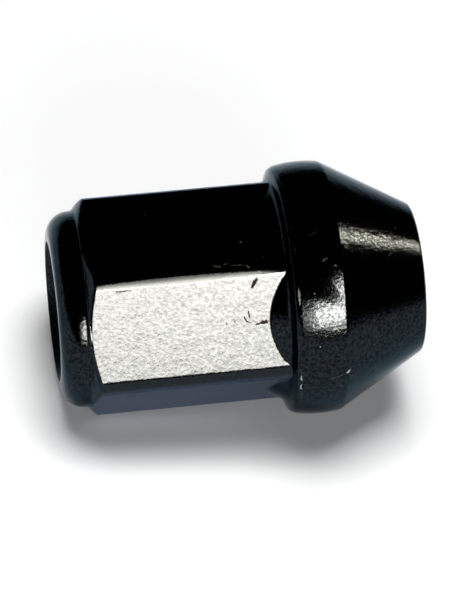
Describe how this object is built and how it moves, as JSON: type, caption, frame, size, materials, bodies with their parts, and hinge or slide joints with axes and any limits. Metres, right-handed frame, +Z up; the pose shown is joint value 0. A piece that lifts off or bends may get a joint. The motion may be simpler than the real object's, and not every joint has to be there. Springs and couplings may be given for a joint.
{
  "type": "lug nut",
  "caption": "Open-ended wheel lug nut with a hexagon, a round collar, a crowned flange and a conical seat, in black coated steel.",
  "frame": {"origin": "on the table, under the middle of the nut's box", "axes": "+X along the nut from its collar towards its nose, level with the table; +Z up; the nut lies on one flat's end and its flange, so its own axis rises by 7 degrees"},
  "size_m": [0.036, 0.0242, 0.0241],
  "materials": {
    "black_coat": "semi-gloss black coat on steel, worn at the edges"
  },
  "bodies": {
    "root": {"lug_nut": "black_coat"}
  },
  "joints": []
}
